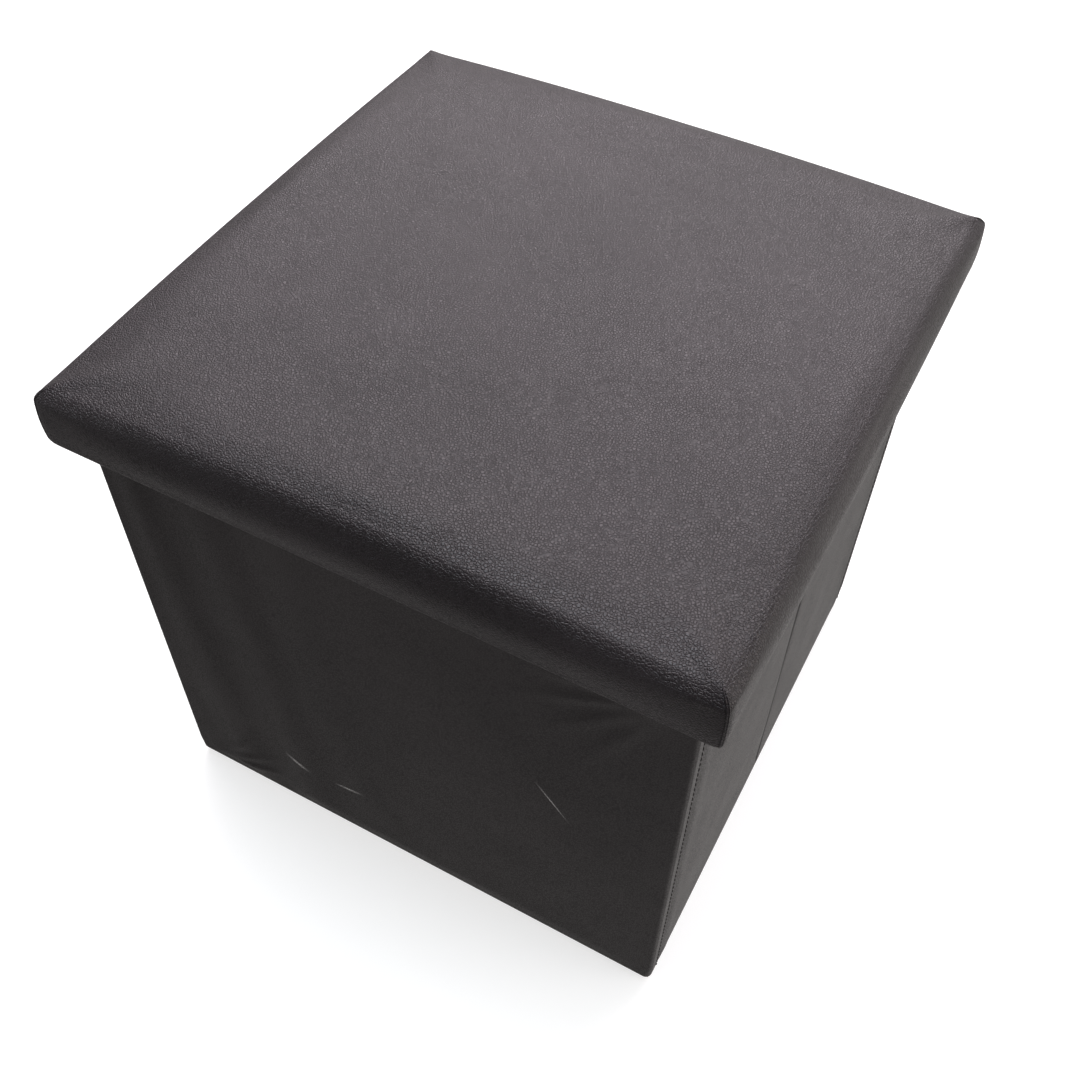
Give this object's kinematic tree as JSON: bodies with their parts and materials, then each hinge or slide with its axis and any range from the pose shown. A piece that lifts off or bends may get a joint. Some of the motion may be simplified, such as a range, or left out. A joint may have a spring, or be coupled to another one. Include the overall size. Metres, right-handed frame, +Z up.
{
  "type": "storage ottoman",
  "caption": "Square leather-covered storage ottoman whose padded lid lifts off and whose side walls crease inwards so the box folds flat.",
  "frame": {"origin": "on the floor under the centre of the box", "axes": "+Z up through the middle of the seat, -Y towards the front wall, +X towards the right side wall, which folds"},
  "size_m": [0.384, 0.384, 0.372],
  "materials": {
    "leather": "satin",
    "board": "matte",
    "foam": "matte",
    "lining": "matte"
  },
  "bodies": {
    "back_and_base": {"back_board": "board", "back_leather": "leather", "back_lining": "lining", "base_fabric": "lining", "base_board": "board", "base_lining": "lining"},
    "right_rear": {"right_rear_board": "board", "right_rear_leather": "leather", "right_rear_lining": "lining"},
    "right_front": {"right_front_board": "board", "right_front_leather": "leather", "right_front_lining": "lining"},
    "front_wall": {"front_board": "board", "front_leather": "leather", "front_lining": "lining"},
    "left_front": {"left_front_board": "board", "left_front_leather": "leather", "left_front_lining": "lining"},
    "left_rear": {"left_rear_board": "board", "left_rear_leather": "leather", "left_rear_lining": "lining"},
    "lid": {"seat_cover": "leather", "seat_foam": "foam", "lid_board": "board", "lid_lining": "lining", "lid_rim_front": "board", "lid_rim_right": "board", "lid_rim_back": "board", "lid_rim_left": "board"}
  },
  "joints": [
    {"name": "lid_lift", "type": "slide", "parent": "back_and_base", "child": "lid", "axis": [0, 0, 1], "range_m": [0, 0.2]},
    {"name": "side_fold", "type": "hinge", "parent": "back_and_base", "child": "right_rear", "pos_m": [0.1716, 0.1718, 0.17], "axis": [0, 0, 1], "range_deg": [-86, 0]},
    {"name": "right_crease", "type": "hinge", "parent": "right_rear", "child": "right_front", "pos_m": [0.1778, 0, 0.17], "axis": [0, 0, 1], "range_deg": [0, 172]},
    {"name": "right_front_corner", "type": "hinge", "parent": "right_front", "child": "front_wall", "pos_m": [0.1716, -0.1718, 0.17], "axis": [0, 0, 1], "range_deg": [-86, 0]},
    {"name": "left_front_corner", "type": "hinge", "parent": "front_wall", "child": "left_front", "pos_m": [-0.1716, -0.1718, 0.17], "axis": [0, 0, 1], "range_deg": [-86, 0]},
    {"name": "left_rear_corner", "type": "hinge", "parent": "back_and_base", "child": "left_rear", "pos_m": [-0.1716, 0.1718, 0.17], "axis": [0, 0, 1], "range_deg": [0, 86]}
  ],
  "couplings": [
    {"joint": "right_crease", "follows": "side_fold", "ratio": -2},
    {"joint": "right_front_corner", "follows": "side_fold", "ratio": 1},
    {"joint": "left_front_corner", "follows": "side_fold", "ratio": 1},
    {"joint": "left_rear_corner", "follows": "side_fold", "ratio": -1}
  ]
}
